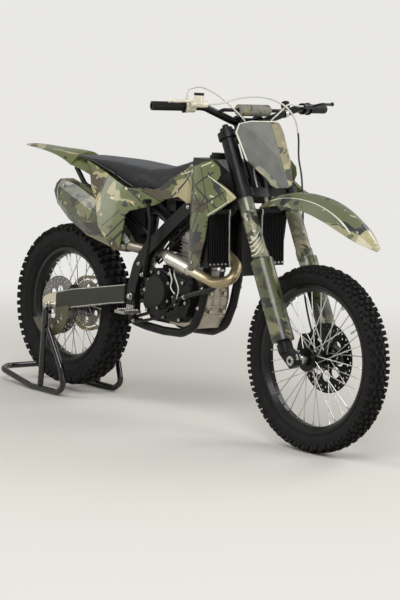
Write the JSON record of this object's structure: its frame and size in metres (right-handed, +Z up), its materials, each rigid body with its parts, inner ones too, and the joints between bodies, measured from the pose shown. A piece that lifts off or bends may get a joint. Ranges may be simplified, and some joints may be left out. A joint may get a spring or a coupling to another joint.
{
  "type": "motocross motorcycle on a paddock stand",
  "caption": "Full-size off-road motorcycle on its rear paddock stand, with knobbly tyres, wire wheels, long fork, open engine and thin body panels.",
  "frame": {"origin": "middle of the bounding box on the ground the stand and front tyre rest on", "axes": "+X forward, +Y to the rider's left, +Z up"},
  "size_m": [2.17, 0.8798, 1.3154],
  "materials": {
    "tyre": "matt",
    "grip_rubber": "matt",
    "rim_black": "gloss black anodised",
    "spoke_steel": "polished",
    "hub_alloy": "satin",
    "disc_steel": "ground",
    "sprocket_steel": "satin",
    "frame_black": "satin black",
    "clamp_black": "black anodised",
    "fork_black": "satin",
    "camo_plastic": "satin film in olive, tan and brown patches",
    "olive_plastic": "satin",
    "swingarm_alloy": "satin olive black",
    "engine_black": "satin black",
    "engine_alloy": "cast",
    "header_steel": "heat tinted",
    "muffler_shell": "camouflage film",
    "radiator_black": "black",
    "tank_plastic": "satin",
    "black_plastic": "matt",
    "seat_cover": "grained vinyl",
    "pad_cover": "woven",
    "steel": "zinc plated",
    "shock_steel": "satin",
    "chain_gold": "gold plated",
    "caliper_alloy": "satin",
    "cable_sheath": "pale sheath",
    "hose_black": "satin",
    "master_gold": "pale anodised"
  },
  "bodies": {
    "chassis": {"airbox": "black_plastic", "chain": "chain_gold", "chain_guide": "olive_plastic", "clutch_cover": "engine_black", "coolant_hose": "hose_black", "disc_guard": "olive_plastic", "engine_case": "engine_black", "engine_cylinder": "engine_alloy", "exhaust_header": "header_steel", "exhaust_muffler": "muffler_shell", "foot_levers": "steel", "footpegs": "frame_black", "frame_cradles": "frame_black", "frame_head": "frame_black", "frame_spars": "frame_black", "fuel_cap": "black_plastic", "fuel_tank": "tank_plastic", "ignition_cover": "engine_black", "kick_lever": "frame_black", "radiators": "radiator_black", "rear_axle": "steel", "rear_caliper": "caliper_alloy", "rear_fender": "camo_plastic", "seat": "seat_cover", "shock": "shock_steel", "shrouds": "camo_plastic", "side_panels": "camo_plastic", "stand_rear_bar": "frame_black", "stand_runners": "frame_black", "stand_uprights": "frame_black", "subframe": "frame_black", "swingarm_beams": "swingarm_alloy", "swingarm_yoke": "swingarm_alloy"},
    "front_end": {"upper_clamp": "clamp_black", "lower_clamp": "clamp_black", "fork_legs": "fork_black", "fork_guards": "camo_plastic", "front_axle": "steel", "front_caliper": "caliper_alloy", "front_fender": "camo_plastic", "number_plate": "camo_plastic", "handlebar": "frame_black", "bar_pad": "pad_cover", "grips": "grip_rubber", "brake_master": "master_gold", "clutch_perch": "clamp_black", "control_cables": "cable_sheath", "brake_hose": "hose_black"},
    "front_wheel": {"front_tyre": "tyre", "front_rim": "rim_black", "front_spokes": "spoke_steel", "front_hub": "hub_alloy", "front_disc": "disc_steel"},
    "rear_wheel": {"rear_tyre": "tyre", "rear_rim": "rim_black", "rear_spokes": "spoke_steel", "rear_hub": "hub_alloy", "rear_disc": "disc_steel", "rear_sprocket": "sprocket_steel"}
  },
  "joints": [
    {"name": "steering", "type": "hinge", "parent": "chassis", "child": "front_end", "pos_m": [0.34123, 0, 1.01874], "axis": [-0.454, 0, 0.891], "range_deg": [-42, 42]},
    {"name": "front_wheel_spin", "type": "hinge", "parent": "front_end", "child": "front_wheel", "pos_m": [0.739, 0, 0.346], "axis": [0, 1, 0], "continuous": true},
    {"name": "rear_wheel_spin", "type": "hinge", "parent": "chassis", "child": "rear_wheel", "pos_m": [-0.736, 0, 0.36], "axis": [0, 1, 0], "continuous": true}
  ]
}
